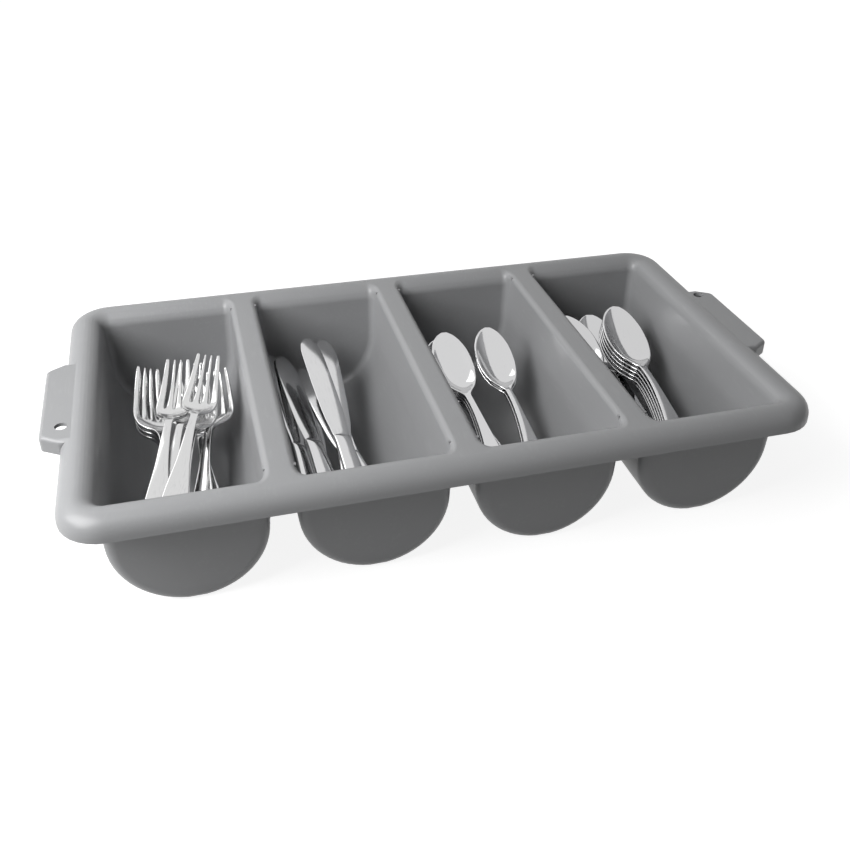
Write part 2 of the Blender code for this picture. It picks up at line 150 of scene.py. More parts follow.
def makeScuffs():
    # short hairline marks left by use, as a mask
    tree, taken, given = newGroup(
        "hairlineScuffs",
        (("Vector", "NodeSocketVector", None), ("Stretch", "NodeSocketVector", (1.0, 1.0, 1.0)),
         ("Marks Per Metre", "NodeSocketFloat", 400.0), ("Amount", "NodeSocketFloat", 0.5)),
        (("Mask", "NodeSocketFloat"),))
    scaled = newNode(tree, "ShaderNodeVectorMath", {
        0: taken.outputs["Vector"], 1: taken.outputs["Stretch"]}, operation="MULTIPLY")
    lines = newNode(tree, "ShaderNodeTexNoise", {
        "Vector": scaled.outputs[0], "Scale": taken.outputs["Marks Per Metre"],
        "Detail": scuffNoise["lineDetail"]})
    patches = newNode(tree, "ShaderNodeTexNoise", {
        "Vector": taken.outputs["Vector"], "Scale": scuffNoise["patchesPerMetre"]})
    thin = newNode(tree, "ShaderNodeMapRange", {
        "Value": lines.outputs["Fac"],
        "From Min": scuffNoise["lineEdge"][0], "From Max": scuffNoise["lineEdge"][1]})
    some = newNode(tree, "ShaderNodeMapRange", {
        "Value": patches.outputs["Fac"],
        "From Min": scuffNoise["patchEdge"][0], "From Max": scuffNoise["patchEdge"][1]})
    both = combined(tree, "MULTIPLY", thin.outputs["Result"], some.outputs["Result"])
    tree.links.new(combined(tree, "MULTIPLY", both, taken.outputs["Amount"]), given.inputs["Mask"])
    return tree


grainGroup = makeGrain()
scuffGroup = makeScuffs()


def newMaterial(name):
    made = bpy.data.materials.new(name)
    made.use_nodes = True
    tree = made.node_tree
    shader = tree.nodes["Principled BSDF"]
    place = newNode(tree, "ShaderNodeTexCoord").outputs["Object"]
    return made, tree, shader, place


def placed(tree, group, values):
    return newNode(tree, "ShaderNodeGroup", values, node_tree=group)


def addBump(tree, shader, grain, look):
    bump = newNode(tree, "ShaderNodeBump", {
        "Height": grain.outputs["Height"],
        "Strength": look["grainStrength"], "Distance": look["grainHeight"]})
    tree.links.new(bump.outputs["Normal"], shader.inputs["Normal"])


plasticLook = {
    "colour": (0.300, 0.303, 0.310, 1),
    "paler": (0.322, 0.325, 0.332, 1),
    "scuffed": (0.38, 0.385, 0.39, 1),
    "roughness": (0.34, 0.42),
    "specular": 0.5,
    "grain": {"Grains Per Metre": 1100.0, "Drift Per Metre": 11.0},
    "scuffs": {"Stretch": (1.0, 0.12, 1.0), "Marks Per Metre": 520.0, "Amount": 0.22},
    "grainHeight": 0.00004,
    "grainStrength": 0.35,
}


def plasticMaterial(look):
    made, tree, shader, place = newMaterial("greyPolyethylene")
    grain = placed(tree, grainGroup, {"Vector": place, **look["grain"]})
    scuffs = placed(tree, scuffGroup, {"Vector": place, **look["scuffs"]})
    base = mixed(tree, grain.outputs["Drift"], look["colour"], look["paler"])
    worn = mixed(tree, scuffs.outputs["Mask"], base, look["scuffed"])
    tree.links.new(worn, shader.inputs["Base Color"])
    tree.links.new(mapped(tree, grain.outputs["Drift"], *look["roughness"]), shader.inputs["Roughness"])
    addBump(tree, shader, grain, look)
    shader.inputs["Specular IOR Level"].default_value = look["specular"]
    return made


steelLook = {
    "fork_steel": {"colour": (0.68, 0.68, 0.68, 1), "roughness": (0.09, 0.17), "marks": 0.35},
    "knife_steel": {"colour": (0.66, 0.66, 0.665, 1), "roughness": (0.07, 0.14), "marks": 0.45},
    "teaspoon_steel": {"colour": (0.64, 0.64, 0.645, 1), "roughness": (0.06, 0.12), "marks": 0.25},
    "tablespoon_steel": {"colour": (0.60, 0.60, 0.605, 1), "roughness": (0.06, 0.12), "marks": 0.25},
}


# what the four steels share
steelSurface = {
    "dulled": (0.54, 0.54, 0.55, 1),
    "markRoughness": 0.12,
    "grain": {"Grains Per Metre": 1500.0, "Drift Per Metre": 45.0},
    "scuffs": {"Stretch": (1.0, 0.06, 1.0), "Marks Per Metre": 1400.0},
    "grainHeight": 0.00002,
    "grainStrength": 0.10,
}


def steelMaterial(name, look):
    made, tree, shader, place = newMaterial(name)
    grain = placed(tree, grainGroup, {"Vector": place, **steelSurface["grain"]})
    marks = placed(tree, scuffGroup, {"Vector": place, **steelSurface["scuffs"], "Amount": look["marks"]})
    dull = mixed(tree, marks.outputs["Mask"], look["colour"], steelSurface["dulled"])
    tree.links.new(dull, shader.inputs["Base Color"])
    rough = mapped(tree, grain.outputs["Drift"], *look["roughness"])
    rougher = newNode(tree, "ShaderNodeMath", {
        0: marks.outputs["Mask"], 1: steelSurface["markRoughness"], 2: rough}, operation="MULTIPLY_ADD")
    tree.links.new(rougher.outputs[0], shader.inputs["Roughness"])
    addBump(tree, shader, grain, steelSurface)
    shader.inputs["Metallic"].default_value = 1.0
    return made


greyPlastic = plasticMaterial(plasticLook)
steels = {name: steelMaterial(name, look) for name, look in steelLook.items()}
print("materials made:", 1 + len(steels))


# Mesh helpers


def smoothCurve(rows, steps):
    # a curve through rows of numbers, the first of each the place along, that doesn't overshoot them
    def slopes(column):
        spans = [(b[0] - a[0], (b[column] - a[column]) / (b[0] - a[0])) for a, b in zip(rows, rows[1:])]
        found = [spans[0][1]]
        for (wideA, riseA), (wideB, riseB) in zip(spans, spans[1:]):
            if riseA * riseB <= 0:
                found.append(0)
            else:
                weightA, weightB = 2 * wideB + wideA, wideB + 2 * wideA
                found.append((weightA + weightB) / (weightA / riseA + weightB / riseB))
        return found + [spans[-1][1]]

    allSlopes = {column: slopes(column) for column in range(1, len(rows[0]))}
    made = []
    for index, (low, high) in enumerate(zip(rows, rows[1:])):
        wide = high[0] - low[0]
        for step in range(steps):
            t = step / steps
            point = [low[0] + t * wide]
            for column, slope in allSlopes.items():
                point.append(
                    (2 * t**3 - 3 * t**2 + 1) * low[column] + (t**3 - 2 * t**2 + t) * wide * slope[index]
                    + (3 * t**2 - 2 * t**3) * high[column] + (t**3 - t**2) * wide * slope[index + 1])
            made.append(point)
    return made + [list(rows[-1])]


def newPiece(name, mesh, material):
    piece = bpy.data.objects.new(name, mesh)
    scene.collection.objects.link(piece)
    mesh.materials.clear()
    mesh.materials.append(material)
    return piece


def applied(obj):
    # the object's mesh with its modifiers in it
    bpy.context.view_layer.update()
    graph = bpy.context.evaluated_depsgraph_get()
    mesh = bpy.data.meshes.new_from_object(obj.evaluated_get(graph))
    obj.modifiers.clear()
    obj.data = mesh
    return mesh


def ringsMesh(name, rings):
    # a closed skin over rings of equally many points
    mesh = bmesh.new()
    loops = [[mesh.verts.new(point) for point in ring] for ring in rings]
    count = len(loops[0])
    for low, high in zip(loops, loops[1:]):
        for i in range(count):
            j = (i + 1) % count
            mesh.faces.new((low[i], low[j], high[j], high[i]))
    mesh.faces.new(loops[0][::-1])
    mesh.faces.new(loops[-1])
    bmesh.ops.recalc_face_normals(mesh, faces=mesh.faces)
    data = bpy.data.meshes.new(name)
    mesh.to_mesh(data)
    mesh.free()
    return data


def tool(name, mesh):
    made = bpy.data.objects.new(name, mesh)
    scene.collection.objects.link(made)
    return made


def cut(obj, operation, tools):
    for other in tools:
        step = obj.modifiers.new(other.name, "BOOLEAN")
        step.operation = operation
        step.solver = "EXACT"
        step.object = other
    applied(obj)
    for other in tools:
        bpy.data.objects.remove(other)


# The moulding, in metres: a skin over the rim, the dividers and the four hollows, and a second one
# the wall's thickness under it

bin = {
    "rimLength": 0.5146,
    "width": 0.2921,
    "height": 0.09525,
    "wall": 0.0025,
    "rimDepth": 0.0149,
    "rimCorner": 0.030,
    "outerRound": 0.0120,
    "innerRound": 0.0115,
    "dividerRound": 0.0048,
    "compartments": 4,
    "tubPitch": 0.12175,
    "tubWidth": 0.1032,
    "tubLength": 0.2468,
    "troughRise": 0.0523,
    "tubEdgeRound": 0.0084,
    "footWidth": 0.0120,
    "sideLean": math.radians(1.8),
    "endLean": math.radians(1.7),
    "handleReach": 0.0126,
    "handleLength": 0.0870,
    "handleRootLength": 0.1030,
    "handleDrop": 0.0009,
    "handleDepth": 0.0110,
    "handleEdgeRound": 0.0028,
    "handleCornerRound": 0.0045,
    "hangHoleRadius": 0.0042,
    "hangHoleInset": 0.0139,
    "hangHoleOffsets": {-1: 0.0338, 1: 0.0418},
    "cornerSteps": 8,
    "roundSteps": 8,
    "skirtRoundSteps": 10,
    "troughSteps": 14,
    "handleSteps": 6,
    "handleTaper": 0.6,
    "handleRootTaper": 1.2,
    "archSteps": 18,
    "holeSteps": 40,
    "sharpAngle": math.radians(62),
    "normalWeight": 80,
    "sideShares": (0.92, 0.8, 0.65, 0.5, 0.35, 0.2, 0.0, -0.2, -0.35, -0.5, -0.65, -0.8, -0.92),
    "endShares": (0.75, 0.5, 0.25, 0.0, -0.25, -0.5, -0.75),
}
binUnderside = bin["height"] - bin["rimDepth"]
sameLine = 1e-9  # metres within which a point is on a line of the rim
sameHeight = 1e-8
pointsPerMetre = 2e6  # points closer than half a micrometre are one


def tubMiddle(index):
    return (index - (bin["compartments"] - 1) / 2) * bin["tubPitch"]


def sideReach(inset, z):
    return bin["tubWidth"] / 2 - inset + (z - bin["troughRise"]) * math.tan(bin["sideLean"])


def endReach(inset, z):
    return bin["tubLength"] / 2 - inset + (z - binUnderside) * math.tan(bin["endLean"])


def quarter(steps):
    return [math.pi / 2 * i / steps for i in range(steps + 1)]


def mouthLoop(index, z, under):
    # one ring round the mouth of a compartment, on the skin that far under the top one
    def flare(radius):
        turned = radius - under
        rise = min(max(z - (bin["height"] - radius), 0), turned)
        return turned - math.sqrt(turned * turned - rise * rise)

    last = bin["compartments"] - 1
    middle = tubMiddle(index)
    half = sideReach(bin["wall"] - under, z)
    square = bin["tubEdgeRound"] - bin["wall"] + under
    wide = [flare(bin["innerRound"] if index == end else bin["dividerRound"]) for end in (0, last)]
    left, right = middle - half - wide[0], middle + half + wide[1]
    deep = endReach(bin["wall"] - under, z) + flare(bin["innerRound"])
    tall = square + flare(bin["innerRound"])
    straightLeft, straightRight = left + square + wide[0], right - square - wide[1]
    loop = []
    # a corner and then the side after it, four times round from the back right
    for sx, sy, start in ((1, 1, 0), (-1, 1, 1), (-1, -1, 2), (1, -1, 3)):
        cx = straightRight if sx > 0 else straightLeft
        broad = square + (wide[1] if sx > 0 else wide[0])
        for turn in quarter(bin["cornerSteps"]):
            angle = start * math.pi / 2 + turn
            loop.append((cx + broad * math.cos(angle), sy * (deep - tall) + tall * math.sin(angle), z))
        if start in (0, 2):
            for share in bin["endShares"]:
                along = (share if start == 0 else -share) * (straightRight - straightLeft) / 2
                loop.append(((straightLeft + straightRight) / 2 + along, sy * deep, z))
        else:
            for share in bin["sideShares"]:
                x = left if start == 1 else right
                loop.append((x, (share if start == 1 else -share) * (deep - tall), z))
    return loop


rimEdgeX = bin["rimLength"] / 2 - bin["outerRound"]
rimEdgeY = bin["width"] / 2 - bin["outerRound"]
rimEdgeCorner = bin["rimCorner"] - bin["outerRound"]


def cellLoop(index, under):
    # the edge of a compartment's part of the flat top, point for point with its mouth
    last = bin["compartments"] - 1
    steps = bin["cornerSteps"]
    height = bin["height"] - under
    mouth = mouthLoop(index, height, under)
    middle = tubMiddle(index)
    left = -rimEdgeX if index == 0 else middle - bin["tubPitch"] / 2
    right = rimEdgeX if index == last else middle + bin["tubPitch"] / 2
    loop = []
    cursor = 0
    for sx, sy, start in ((1, 1, 0), (-1, 1, 1), (-1, -1, 2), (1, -1, 3)):
        edge = right if sx > 0 else left
        rounded = (sx > 0 and index == last) or (sx < 0 and index == 0)
        corner = mouth[cursor:cursor + steps + 1]
        for i, turn in enumerate(quarter(steps)):
            if rounded:
                angle = start * math.pi / 2 + turn
                x = edge - sx * rimEdgeCorner + rimEdgeCorner * math.cos(angle)
                y = sy * (rimEdgeY - rimEdgeCorner) + rimEdgeCorner * math.sin(angle)
                loop.append((x, y, height))
                continue
            fromSide = start in (0, 2)
            first = (edge, corner[0][1]) if fromSide else (corner[0][0], sy * rimEdgeY)
            final = (corner[-1][0], sy * rimEdgeY) if fromSide else (edge, corner[-1][1])
            point = (edge, sy * rimEdgeY)
            share = 2 * i / steps
            ends, share = ((first, point), share) if share <= 1 else ((point, final), share - 1)
            loop.append((*(a + (b - a) * share for a, b in zip(*ends)), height))
        cursor += steps + 1
        sides = bin["endShares"] if start in (0, 2) else bin["sideShares"]
        for x, y, _ in mouth[cursor:cursor + len(sides)]:
            loop.append((x, sy * rimEdgeY, height) if start in (0, 2) else (edge, y, height))
        cursor += len(sides)
    return [withinCorners(point) for point in loop]


def withinCorners(point):
    # along the rim's straight runs the points keep between its corner arcs
    x, y, z = point
    if abs(abs(x) - rimEdgeX) < sameLine and abs(y) > rimEdgeY - rimEdgeCorner:
        y = math.copysign(rimEdgeY - rimEdgeCorner, y)
    if abs(abs(y) - rimEdgeY) < sameLine and abs(x) > rimEdgeX - rimEdgeCorner:
        x = math.copysign(rimEdgeX - rimEdgeCorner, x)
    return x, y, z


def onRimEdge(point):
    x, y = abs(point[0]), abs(point[1])
    inCorner = x > rimEdgeX - rimEdgeCorner and y > rimEdgeY - rimEdgeCorner
    return abs(x - rimEdgeX) < sameLine or abs(y - rimEdgeY) < sameLine or inCorner


def tubRing(index, shrunk, place, top, under):
    # a compartment's section, from its mouth down one wall, round the trough and up the other
    inset = bin["wall"] - under + shrunk
    across = bin["tubWidth"] / 2 - inset
    foot = math.asin(bin["footWidth"] / bin["tubWidth"])
    tall = (bin["troughRise"] - inset) / math.cos(foot)
    rows = [(sideReach(inset, z), z) for z in (top, (top + bin["troughRise"]) / 2)]
    for i in range(bin["troughSteps"] + 1):
        turn = math.pi / 2 - (math.pi / 2 - foot) * i / bin["troughSteps"]
        rows.append((across * math.sin(turn), bin["troughRise"] - tall * math.cos(turn)))
    section = [(-x, z) for x, z in rows] + rows[::-1]
    return [(tubMiddle(index) + x, place(endReach(bin["wall"] - under, z)), z) for x, z in section]


def makeSkin(mesh, known, under):
    # the top skin, or the one under it; it gives back the ring along the skirt's lower edge
    def vertex(point):
        key = tuple(round(value * pointsPerMetre) for value in point)
        if key not in known:
            known[key] = mesh.verts.new(point)
        return known[key]

    def face(points):
        corners = []
        for point in points:
            found = vertex(point)
            if found not in corners:
                corners.append(found)
        if len(corners) > 2:
            mesh.faces.new(corners)

    def band(first, second, around=True):
        count = len(first)
        for i in range(count if around else count - 1):
            j = (i + 1) % count
            face((first[i], first[j], second[j], second[i]))

    top = bin["height"] - bin["innerRound"]
    edge = bin["tubEdgeRound"] - bin["wall"] + under
    steps = bin["cornerSteps"] + 1
    for index in range(bin["compartments"]):
        # the hollow, in sections from the front to the back
        rings = []
        for end in (-1, 1):
            for t in quarter(bin["cornerSteps"])[::-end]:
                back = edge - edge * math.cos(t)
                rings.append(tubRing(
                    index, edge - edge * math.sin(t), lambda reach: end * (reach - back), top, under))
            if end < 0:
                for share in bin["sideShares"]:
                    rings.append(tubRing(index, 0, lambda reach: -share * (reach - edge), top, under))
        for first, second in zip(rings, rings[1:]):
            band(first, second, around=False)
        mouth = mouthLoop(index, top, under)
        ends = len(bin["endShares"])
        frontStart = 3 * steps + ends + len(bin["sideShares"])
        face(rings[0] + mouth[frontStart:frontStart + ends][::-1])
        face(rings[-1] + mouth[steps:steps + ends])
        # the rounded lip
        heights = {bin["height"] - under}
        for radius in (bin["innerRound"], bin["dividerRound"]):
            heights |= {
                round(bin["height"] - radius + (radius - under) * math.sin(t), 9)
                for t in quarter(bin["roundSteps"])}
        heights = sorted(heights)
        loops = [mouthLoop(index, z, under) for z in heights if heights[-1] - z > sameHeight]
        loops = [mouth] + loops[1:] + [mouthLoop(index, bin["height"] - under, under)]
        for first, second in zip(loops, loops[1:]):
            band(first, second)
        band(loops[-1], cellLoop(index, under))
    # over the outside of the rim and down its skirt
    flat = []
    for index in range(bin["compartments"]):
        flat += [point for point in cellLoop(index, under) if onRimEdge(point)]
    kept = {}
    for point in flat:
        kept.setdefault(tuple(round(value * pointsPerMetre) for value in point), point)
    flat = sorted(kept.values(), key=aroundRim)
    outward = []
    for x, y, _ in flat:
        away = Vector((
            x - max(min(x, rimEdgeX - rimEdgeCorner), rimEdgeCorner - rimEdgeX),
            y - max(min(y, rimEdgeY - rimEdgeCorner), rimEdgeCorner - rimEdgeY)))
        outward.append(away.normalized())
    radius = bin["outerRound"] - under
    profile = [
        (radius * math.sin(t), bin["height"] - bin["outerRound"] + radius * math.cos(t))
        for t in quarter(bin["skirtRoundSteps"])]
    profile.append((radius, binUnderside))
    previous = flat
    for reach, z in profile[1:]:
        ring = [(x + n.x * reach, y + n.y * reach, z) for (x, y, _), n in zip(flat, outward)]
        band(previous, ring)
        previous = ring
    return previous, band


def aroundRim(point):
    # how far round the rim a point is, in metres, from the middle of the right end
    x, y, _ = point
    straightX, straightY = rimEdgeX - rimEdgeCorner, rimEdgeY - rimEdgeCorner
    arc = rimEdgeCorner * math.pi / 2
    if x >= straightX and abs(y) <= straightY:
        run = y
    elif abs(x) <= straightX:
        run = straightY + arc + straightX - x
        if y < 0:
            run = 3 * straightY + 3 * arc + 3 * straightX + x
    elif x <= -straightX and abs(y) <= straightY:
        run = straightY + 2 * arc + 2 * straightX + straightY - y
    else:
        sx, sy = math.copysign(1, x), math.copysign(1, y)
        angle = math.atan2(y - sy * straightY, x - sx * straightX) % (2 * math.pi)
        step = int(angle / (math.pi / 2) + 1e-9)
        starts = (straightY, straightY + arc + 2 * straightX, 3 * straightY + 2 * arc + 2 * straightX,
                  3 * straightY + 3 * arc + 4 * straightX)
        run = starts[step] + (angle - step * math.pi / 2) * rimEdgeCorner
    whole = 4 * straightX + 4 * straightY + 4 * arc
    return run % whole


def shellMesh():
    mesh = bmesh.new()
    known = {}
    outer, band = makeSkin(mesh, known, 0)
    inner, _ = makeSkin(mesh, known, bin["wall"])
    band(outer, inner)
    bmesh.ops.recalc_face_normals(mesh, faces=mesh.faces)
    data = bpy.data.meshes.new("binShell")
    mesh.to_mesh(data)
    mesh.free()
    return data


def roundedOutline(points, radii, steps):
    # the outline's corners turned into arcs of the radii given, where these aren't zero
    made = []
    count = len(points)
    for i, (point, radius) in enumerate(zip(points, radii)):
        here = Vector(point)
        before = (Vector(points[i - 1]) - here).normalized()
        after = (Vector(points[(i + 1) % count]) - here).normalized()
        if radius <= 0:
            made.append(tuple(here))
            continue
        half = before.angle(after) / 2
        middle = here + (before + after).normalized() * radius / math.sin(half)
        first = here + before * radius / math.tan(half) - middle
        sweep = (math.pi - 2 * half) * (1 if before.x * after.y - before.y * after.x < 0 else -1)
        for step in range(steps + 1):
            turn = sweep * step / steps
            x = first.x * math.cos(turn) - first.y * math.sin(turn)
            y = first.x * math.sin(turn) + first.y * math.cos(turn)
            made.append((middle.x + x, middle.y + y))
    return made


def handleMesh(name, side, inset, lowest):
    top = bin["height"] - bin["handleDrop"]
    radius = bin["handleEdgeRound"]
    rows = [(inset, lowest)]
    for turn in quarter(bin["handleSteps"]):
        moved = radius - (radius - inset) * math.cos(turn) if inset < radius else inset
        rise = top - radius + (radius - inset) * math.sin(turn)
        rows.append((moved, rise))
    rings = []
    for moved, z in rows:
        outer = bin["rimLength"] / 2 + bin["handleReach"] - moved
        root = bin["rimLength"] / 2
        deep = root - bin["outerRound"]
        half = bin["handleLength"] / 2 - moved * bin["handleTaper"]
        rootHalf = bin["handleRootLength"] / 2 - moved * bin["handleRootTaper"]
        corners = (
            (deep, rootHalf), (root, rootHalf), (outer, half),
            (outer, -half), (root, -rootHalf), (deep, -rootHalf))
        rounds = (0, 0, bin["handleCornerRound"], bin["handleCornerRound"], 0, 0)
        outline = roundedOutline(corners, rounds, bin["handleSteps"])
        rings.append([(side * x, side * y, z) for x, y in outline])
    return ringsMesh(name, rings)


def webMesh(name, index, end):
    # the arched wall between two tubs
    gap = (bin["tubPitch"] - bin["tubWidth"]) / 2
    middle = (tubMiddle(index) + tubMiddle(index + 1)) / 2
    half = gap + bin["wall"] / 2
    top = bin["height"] - bin["wall"] / 2
    spring = bin["troughRise"]
    outline = [(half, top), (-half, top), (-half, spring - bin["wall"]), (-gap, spring - bin["wall"])]
    for i in range(bin["archSteps"] + 1):
        turn = math.pi - math.pi * i / bin["archSteps"]
        outline.append((gap * math.cos(turn), spring + gap * math.sin(turn)))
    outline += [(gap, spring - bin["wall"]), (half, spring - bin["wall"])]
    near = bin["tubLength"] / 2 - bin["tubEdgeRound"]
    rings = [[(middle + x, end * y, z) for x, z in outline] for y in (near - bin["wall"], near)]
    return ringsMesh(name, rings)


def makeBin():
    skin = newPiece("moulding", shellMesh(), greyPlastic)
    lowest = bin["height"] - bin["handleDrop"] - bin["handleDepth"]
    under = binUnderside - bin["wall"]
    cut(skin, "UNION", [
        tool(f"handle{side}", handleMesh(f"handle{side}", side, 0, lowest)) for side in (-1, 1)])
    cut(skin, "DIFFERENCE", [
        tool(f"hollow{side}", handleMesh(f"hollow{side}", side, bin["wall"], under)) for side in (-1, 1)])
    webs = [(index, end) for index in range(bin["compartments"] - 1) for end in (-1, 1)]
    cut(skin, "UNION", [tool(f"web{i}{e}", webMesh(f"web{i}{e}", i, e)) for i, e in webs])
    holes = []
    for side in (-1, 1):
        x = side * (bin["rimLength"] / 2 + bin["handleReach"] - bin["hangHoleInset"])
        y = side * bin["hangHoleOffsets"][side]
        radius = bin["hangHoleRadius"]
        turns = [2 * math.pi * i / bin["holeSteps"] for i in range(bin["holeSteps"])]
        rings = [[(x + radius * math.cos(t), y + radius * math.sin(t), z) for t in turns]
                 for z in (under, bin["height"] + bin["wall"])]
        holes.append(tool(f"hole{side}", ringsMesh(f"hole{side}", rings)))
    cut(skin, "DIFFERENCE", holes)
    skin.data.materials.clear()
    skin.data.materials.append(greyPlastic)
    skin.data.shade_smooth()
    skin.data.set_sharp_from_angle(angle=bin["sharpAngle"])
    even = skin.modifiers.new("even", "WEIGHTED_NORMAL")
    even.keep_sharp = True
    even.weight = bin["normalWeight"]
    applied(skin)
    return skin


moulding = makeBin()
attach(moulding, "bin")
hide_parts("bin_moulding")
print("bin made:", len(moulding.data.polygons), "faces")


# Cutlery. Each kind lies along +Y with its handle's end first and its dished side up, as in the CAD.

curveSteps = 3  # spans between two rows of a table
dishPower = 2.0


def dished(across):
    return 1 - abs(across) ** dishPower


def sheetPiece(name, rows, columns, gaps, thicknesses, length):
    # a sheet through rows of (along, half width, top, dish), with open slots where gaps says,
    # thickened and rounded
    mesh = bmesh.new()
    grid = []
    for row, places in zip(rows, columns):
        along, half, top, dish = row[:4]
        grid.append([mesh.verts.new((x, along - length / 2, top - dish * dished(x / half if half else 0)))
                     for x in places])
    for i, (low, high) in enumerate(zip(grid, grid[1:])):
        for j in range(len(low) - 1):
            if j in gaps[i]:
                continue
            mesh.faces.new((low[j], low[j + 1], high[j + 1], high[j]))
    loose = [v for v in mesh.verts if not v.link_faces]
    for v in loose:
        mesh.verts.remove(v)
    data = bpy.data.meshes.new(name)
    mesh.to_mesh(data)
    mesh.free()
    obj = tool(name, data)
    thickest = max(thicknesses)
    group = obj.vertex_groups.new(name="thickness")
    for v in obj.data.vertices:
        y = v.co.y + length / 2
        near = min(range(len(rows)), key=lambda k: abs(rows[k][0] - y))
        group.add([v.index], thicknesses[near] / thickest, "REPLACE")
    step = obj.modifiers.new("thick", "SOLIDIFY")
    step.thickness = thickest
    step.offset = -1
    step.vertex_group = "thickness"
    step.use_even_offset = False
    rounding = obj.modifiers.new("round", "SUBSURF")
    rounding.levels = rounding.render_levels = 1
    applied(obj)
    obj.data.shade_smooth()
    mesh = obj.data
    bpy.data.objects.remove(obj)
    return mesh


forkSizes = {
    "length": 0.190,
    "head": 0.0258,
    "handle": 0.0206,
    "neck": 0.0056,
    "tip": 0.0178,
    "rise": 0.0150,
    "dish": 0.0022,
    "thick": 0.0021,
    "slot": 0.0024,
    "root": 0.785,
    "slotAtRoot": 0.55,
    "slotOpens": 0.2,
    "slotSpread": 0.6,
    "slotLeast": 0.35,
    "palmStart": -0.12,
    "palmSlot": 0.4,
    "tipStart": 0.9,
    "tipNarrows": 0.22,
    "tines": 4,
    "tineColumns": 3,
}


def makeFork(size):
    handle, neck, head, tip = (size[key] / 2 for key in ("handle", "neck", "head", "tip"))
    shares = (
        (0.000, 0.35 * handle, 0.06, 0.0, 1.0),
        (0.012, 0.70 * handle, 0.07, 0.0, 1.0),
        (0.045, 0.98 * handle, 0.10, -0.1, 1.0),
        (0.110, 1.00 * handle, 0.17, -0.1, 1.0),
        (0.240, 0.88 * handle, 0.40, -0.2, 1.1),
        (0.400, 0.48 * handle, 0.70, -0.2, 1.3),
        (0.540, 0.32 * handle, 0.86, -0.1, 1.5),
        (0.635, 1.00 * neck, 0.82, -0.1, 1.5),
        (0.680, 1.45 * neck, 0.62, 0.1, 1.3),
        (0.708, 0.62 * head, 0.42, 0.6, 1.1),
        (0.735, 0.88 * head, 0.27, 0.9, 1.0),
        (0.785, 1.00 * head, 0.18, 1.0, 1.0),
        (0.850, 0.65 * head + 0.35 * tip, 0.30, 0.9, 0.9),
        (0.925, 0.32 * head + 0.68 * tip, 0.62, 0.6, 0.8),
        (1.000, 1.00 * tip, 1.08, 0.3, 0.5),
    )
    rows = smoothCurve(shares, curveSteps)
    count = size["tineColumns"] + 1
    columns = []
    gaps = []
    for along, half, rise, dish, thick in rows:
        # how far along the tines the row is: 0 at their roots, 1 at their tips
        beyond = (along - size["root"]) / (1 - size["root"])
        widen = size["slotAtRoot"]
        if beyond > 0:
            widen += (1 - size["slotAtRoot"]) * min(beyond / size["slotOpens"], 1)
            widen += size["slotSpread"] * max(beyond - size["slotOpens"], 0)
        least = size["slotLeast"]
        slot = size["slot"] * widen / 2 * (least + (1 - least) * min(half / head, 1))
        if beyond < size["palmStart"]:
            slot *= size["palmSlot"]
        narrow = max(beyond - size["tipStart"], 0) / (1 - size["tipStart"]) * size["tipNarrows"]
        places = []
        for tine in range(size["tines"]):
            left = -half if tine == 0 else (tine * 2 / size["tines"] - 1) * half + slot
            right = half if tine == size["tines"] - 1 else ((tine + 1) * 2 / size["tines"] - 1) * half - slot
            middle, reach = (left + right) / 2, (right - left) / 2 * (1 - narrow)
            places += [middle + reach * (2 * k / (count - 1) - 1) for k in range(count)]
        columns.append(places)
        slots = {count * (k + 1) - 1 for k in range(size["tines"] - 1)}
        gaps.append(slots if beyond >= -0.001 else set())
    sized = [(a * size["length"], h, r * size["rise"], d * size["dish"]) for a, h, r, d, t in rows]
    thicknesses = [row[4] * size["thick"] for row in rows]
    return sheetPiece("forkShape", sized, columns, gaps, thicknesses, size["length"])


teaspoonSizes = {
    "length": 0.166,
    "bowl": 0.0335,
    "handle": 0.0190,
    "neck": 0.0056,
    "rise": 0.0135,
    "dish": 0.0080,
    "bowlLift": 0.0080,
    "thick": 0.0017,
    "bowlShare": 0.35,
}
tablespoonSizes = {
    "length": 0.198,
    "bowl": 0.0405,
    "handle": 0.0226,
    "neck": 0.0066,
    "rise": 0.0160,
    "dish": 0.0098,
    "bowlLift": 0.0070,
    "thick": 0.0019,
    "bowlShare": 0.35,
}


